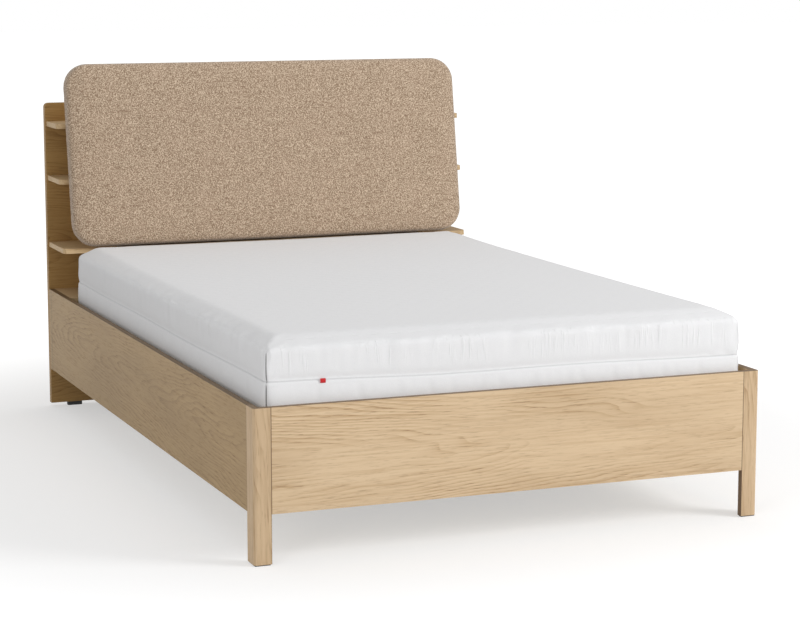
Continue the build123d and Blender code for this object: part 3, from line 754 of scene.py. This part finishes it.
def makeMattress(plan):
    net = coverNet(plan)
    push, seam, held = sewSeams(plan, net)
    points = net["rounded"] + net["level"] * push[:, None]
    points[:, 2] += zipRise(plan, net)
    points[:, 2] += coverCrown(plan, net)
    piece = addPiece("mattressCover", points, net["faces"], slotFinish["mattress_cover"])
    mark = piece.data.attributes.new("seam", "FLOAT", "POINT")
    mark.data.foreach_set("value", seam.astype(np.float32))
    puffUp(piece, held, plan["puffSlack"], plan["puffCap"], plan["puffFrames"])
    writePoints(piece.data, meshPoints(piece.data) + coverRipple(plan, net))
    applyModifier(piece, "SUBSURF", levels=1, render_levels=1)
    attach(piece, "platform")
    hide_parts("mattress")
    return piece


mattressPiece = makeMattress(mattressPlan)
print("mattress made,", len(mattressPiece.data.polygons), "faces")


# Headboard pad: thick padded board with soft rounded edges, leaning back on the shelves

padPlan = {
    "lean": math.radians(9.24),
    "width": 1.412,
    "height": 0.622,
    "thickness": 0.053,
    "crown": 0.003,
    "swell": 0.0012,
    "corner": 0.085,
    "leastCorner": 0.02,
    "cornerTurns": 14,
    "lowZ": 0.574,
    "footY": 0.903,
    "footZ": 0.575,
    "gap": 0.0003,
    "voxel": 0.007,
    "shy": 0.0016,
    "heldShare": 0.24,
    "puffCap": 0.0045,
    "puffFrames": 20,
    "board": 0.012,
    "boardGap": 0.0004,
    "boardInset": 0.014,
    "boardPlay": 0.002,
    "swellNoise": (7.0, 2.2),
    # from back to face: share of the thickness, and inset of the outline
    "sections": ((0.0, 0.009), (0.12, 0.0025), (0.3, 0.0), (0.62, 0.0), (0.78, 0.0025),
                 (0.9, 0.008), (0.97, 0.017), (1.0, 0.032)),
}


def padFrame(plan):
    lean = plan["lean"]
    centreZ = plan["lowZ"] + plan["height"] / 2 * math.cos(lean)
    centreY = plan["footY"] + math.tan(lean) * (centreZ - plan["footZ"]) - plan["gap"]
    origin = np.array([0.0, centreY, centreZ])
    across = np.array([1.0, 0.0, 0.0])
    out = np.array([0.0, -math.cos(lean), math.sin(lean)])
    up = np.array([0.0, math.sin(lean), math.cos(lean)])
    return origin, across, up, out


def roundedRing(halfWidth, halfHeight, radius, turns):
    ring = []
    for quarter, (sideU, sideV) in enumerate(((1, 1), (-1, 1), (-1, -1), (1, -1))):
        for turn in np.linspace(0, math.pi / 2, turns):
            angle = quarter * math.pi / 2 + turn
            ring.append((sideU * (halfWidth - radius) + radius * math.cos(angle),
                         sideV * (halfHeight - radius) + radius * math.sin(angle)))
    return ring


def loftPad(plan, shy):
    # one ring of points per section, all of them smaller by what the fabric will swell
    origin, across, up, out = padFrame(plan)
    points = []
    for share, inset in plan["sections"]:
        inset += shy
        radius = max(plan["corner"] - inset, plan["leastCorner"])
        halfWidth, halfHeight = plan["width"] / 2 - inset, plan["height"] / 2 - inset
        ring = roundedRing(halfWidth, halfHeight, radius, plan["cornerTurns"])
        depth = shy + share * (plan["thickness"] - 2 * shy)
        points += [origin + across * u + up * v + out * depth for u, v in ring]
    size = len(ring)
    last = len(points) - size
    faces = [(base + i, base + (i + 1) % size, base + size + (i + 1) % size, base + size + i)
             for base in range(0, last, size) for i in range(size)]
    faces += [tuple(range(size))[::-1], tuple(range(last, last + size))]
    return points, faces


def shapeFace(plan, u, v, depth):
    # crowned face, and a flat back that takes the board
    thickness, crown, corner = plan["thickness"], plan["crown"], plan["corner"]
    halfWidth, halfHeight = plan["width"] / 2, plan["height"] / 2
    besideU, besideV = np.abs(u), np.abs(v)
    dome = np.clip(1 - (besideU / halfWidth) ** 4, 0, 1)
    dome = dome * np.clip(1 - (besideV / halfHeight) ** 3, 0, 1)
    forward = smoothStep(depth, thickness * 0.5, thickness)
    swell = softNoise(u, v, v * 0, *plan["swellNoise"]) * plan["swell"]
    depth = np.clip(depth + forward * (dome * crown + swell * dome), 0.0, thickness + crown)
    inset, play = plan["boardInset"], plan["boardPlay"]
    inside = (besideU < halfWidth - inset + play) & (besideV < halfHeight - inset + play)
    cornerU, cornerV = besideU - (halfWidth - corner), besideV - (halfHeight - corner)
    beyond = (cornerU > 0) & (cornerV > 0) & (np.hypot(cornerU, cornerV) > corner - inset + play)
    recess = inside & ~beyond & (depth < plan["board"] + 0.001)
    return np.where(recess, plan["board"] + plan["boardGap"], depth)


def makePad(plan):
    origin, across, up, out = padFrame(plan)
    points, faces = loftPad(plan, plan["shy"])
    piece = addPiece("headboardCushion", points, faces, slotFinish["pad_fabric"])
    applyModifier(piece, "REMESH", mode="VOXEL", voxel_size=plan["voxel"], use_smooth_shade=True)
    depth = (meshPoints(piece.data) - origin) @ out
    held = depth < plan["thickness"] * plan["heldShare"]
    puffUp(piece, held, 0.0, plan["puffCap"], plan["puffFrames"])
    applyModifier(piece, "SUBSURF", levels=1, render_levels=1)
    local = meshPoints(piece.data) - origin
    u, v = local @ across, local @ up
    depth = shapeFace(plan, u, v, local @ out)
    writePoints(piece.data, origin + np.outer(u, across) + np.outer(v, up) + np.outer(depth, out))
    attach(piece, "frame")
    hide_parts("headboard_pad")
    return piece


padPiece = makePad(padPlan)
print("pad made,", len(padPiece.data.polygons), "faces")


# Tag and pull strap: folded ribbon, drawn as a strip of fabric and thickened

ribbonPlan = {
    "mattressTag": {"node": "mattress_tag", "slot": "tag_fabric", "width": 0.016,
                    "thickness": 0.0007},
    "pullStrap": {"node": "pull_strap", "slot": "webbing", "width": 0.030, "thickness": 0.0018},
}


def tagPath():
    # from the cover down over the fold and back up behind it, as (y, z)
    low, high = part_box("mattress_tag")
    back, middle = high.y + 0.0006, (low.z + high.z) / 2
    return [
        (back, high.z - 0.0008),
        (back - 0.0016, high.z - 0.0004),
        (back - 0.0027, high.z - 0.003),
        (back - 0.0032, middle),
        (back - 0.0029, low.z + 0.003),
        (back - 0.0020, low.z + 0.0004),
        (back - 0.0010, low.z + 0.0012),
        (back - 0.0008, middle - 0.001),
    ]


def strapPath():
    # from the foot tube up, in the gap behind the footboard, as (y, z)
    low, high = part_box("pull_strap")
    middle = (low.y + high.y) / 2
    return [
        (high.y - 0.0012, low.z + 0.001),
        (middle, low.z + 0.03),
        (middle - 0.0004, high.z - 0.012),
        (middle, high.z - 0.001),
    ]


def foldRibbon(name, path):
    # a strip that follows the path, with its width along x
    plan = ribbonPlan[name]
    low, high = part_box(plan["node"])
    middleX = (low.x + high.x) / 2
    bpy.ops.object.select_all(action="DESELECT")
    bpy.ops.mesh.primitive_plane_add(size=1.0, location=(0.0, 0.0, 0.0))
    piece = bpy.context.active_object
    piece.name = name
    bpy.ops.object.mode_set(mode="EDIT")
    bpy.ops.mesh.select_all(action="SELECT")
    bpy.ops.mesh.delete(type="ONLY_FACE")
    # one edge of the plane is kept as the ribbon's end
    net = bmesh.from_edit_mesh(piece.data)
    net.verts.ensure_lookup_table()
    kept = [v for v in net.verts if v.co.y < 0]
    bmesh.ops.delete(net, geom=[v for v in net.verts if v.co.y > 0], context="VERTS")
    for vert in kept:
        vert.co = (middleX + math.copysign(plan["width"] / 2, vert.co.x), path[0][0], path[0][1])
    bmesh.update_edit_mesh(piece.data)
    bpy.ops.mesh.select_all(action="SELECT")
    for here, there in zip(path, path[1:]):
        move = (0.0, there[0] - here[0], there[1] - here[1])
        bpy.ops.mesh.extrude_edges_move(TRANSFORM_OT_translate={"value": move})
    bpy.ops.mesh.select_all(action="SELECT")
    bpy.ops.mesh.normals_make_consistent(inside=False)
    bpy.ops.object.mode_set(mode="OBJECT")
    applyModifier(piece, "SOLIDIFY", thickness=plan["thickness"], offset=0.0)
    applyModifier(piece, "SUBSURF", levels=2, render_levels=2)
    bpy.ops.object.shade_smooth_by_angle(angle=math.radians(40))
    piece.data.materials.append(slotFinish[plan["slot"]])
    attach(piece, "platform")
    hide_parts(plan["node"])


foldRibbon("mattressTag", tagPath())
foldRibbon("pullStrap", strapPath())
print("tag and strap made")


# Floor, world and lamps

floorPlan = {
    "size": 80.0,
    "bounce": 0.8,
    "shade": 0.56,
    # the floor glows less near the bed and more far off: painted shade round the bed, painted light
    # far away
    "nearLift": 0.48,
    "farLift": 0.80,
    "rise": (1.25, 2.9),
}

worldPlan = {"ambient": 0.555, "backdrop": 1.0}

lampPlan = {
    "keyLamp": {"place": (4.4, -4.2, 3.1), "aim": (0.15, -0.35, 0.35), "size": 2.6, "power": 205.0},
    "fillLamp": {"place": (-4.2, -4.6, 1.6), "aim": (-0.7, -0.9, 0.4), "size": 2.0, "power": 52.0},
    "topLamp": {"place": (0.2, 0.8, 3.4), "aim": (0.0, 0.4, 0.57), "size": 1.8, "power": 9.0},
}


def grey(value):
    return (value, value, value, 1.0)


def cameraShare(finish):
    # 1 for rays that a viewer, a mirror or glass sends out, 0 for the light's own bounces
    path = finish.tree.nodes.new("ShaderNodeLightPath")
    seen = Wire(finish, path.outputs["Is Camera Ray"])
    seen = seen.maths("MAXIMUM", seen, Wire(finish, path.outputs["Is Glossy Ray"]))
    return seen.maths("MAXIMUM", seen, Wire(finish, path.outputs["Is Transmission Ray"]))


def makeFloor(plan):
    bpy.ops.object.select_all(action="DESELECT")
    bpy.ops.mesh.primitive_plane_add(size=plan["size"], location=(0.0, 0.0, 0.0))
    floor = bpy.context.active_object
    floor.name = "studioFloor"
    finish = Finish("studioFloorPaper", 1.0)
    bounce = finish.node("ShaderNodeBsdfDiffuse", {}, {"Color": grey(plan["bounce"])})
    shade = finish.node("ShaderNodeBsdfDiffuse", {}, {"Color": grey(plan["shade"])})
    x, y = finish.axes()[:2]
    # glow rising with distance from the bed: painted shade near it, painted light far from it
    away = ((x * x + y * y) ** 0.5).ramp(*plan["rise"])
    strength = away * (plan["farLift"] - plan["nearLift"]) + plan["nearLift"]
    lift = finish.node("ShaderNodeEmission", {}, {"Color": grey(1.0), "Strength": strength})
    seen = finish.node("ShaderNodeAddShader", {}, {0: shade, 1: lift})
    both = finish.node("ShaderNodeMixShader", {}, {0: cameraShare(finish), 1: bounce, 2: seen})
    finish.tree.links.new(both.socket, finish.sink.inputs["Surface"])
    floor.data.materials.append(finish.material)


def makeWorld(plan):
    # soft light for the bed, plain white where the camera or glass looks past it
    world = bpy.data.worlds.new("studioWorld")
    bpy.context.scene.world = world
    world.use_nodes = True
    tree = world.node_tree
    tree.nodes.clear()
    path = tree.nodes.new("ShaderNodeLightPath")
    larger = tree.nodes.new("ShaderNodeMath")
    larger.operation = "MAXIMUM"
    tree.links.new(path.outputs["Is Camera Ray"], larger.inputs[0])
    tree.links.new(path.outputs["Is Transmission Ray"], larger.inputs[1])
    blend = tree.nodes.new("ShaderNodeMixShader")
    tree.links.new(larger.outputs[0], blend.inputs[0])
    for entry, strength in ((1, plan["ambient"]), (2, plan["backdrop"])):
        sky = tree.nodes.new("ShaderNodeBackground")
        sky.inputs["Color"].default_value = grey(1.0)
        sky.inputs["Strength"].default_value = strength
        tree.links.new(sky.outputs[0], blend.inputs[entry])
    sink = tree.nodes.new("ShaderNodeOutputWorld")
    tree.links.new(blend.outputs[0], sink.inputs["Surface"])


def makeLamp(name, place, aim, size, power):
    lamp = bpy.data.lights.new(name, "AREA")
    lamp.shape = "DISK"
    lamp.size = size
    lamp.energy = power
    holder = bpy.data.objects.new(name, lamp)
    holder.location = place
    holder.rotation_euler = (Vector(aim) - Vector(place)).to_track_quat("-Z", "Y").to_euler()
    bpy.context.scene.collection.objects.link(holder)


makeFloor(floorPlan)
makeWorld(worldPlan)
for lampName, plan in lampPlan.items():
    makeLamp(lampName, **plan)
print("light set")
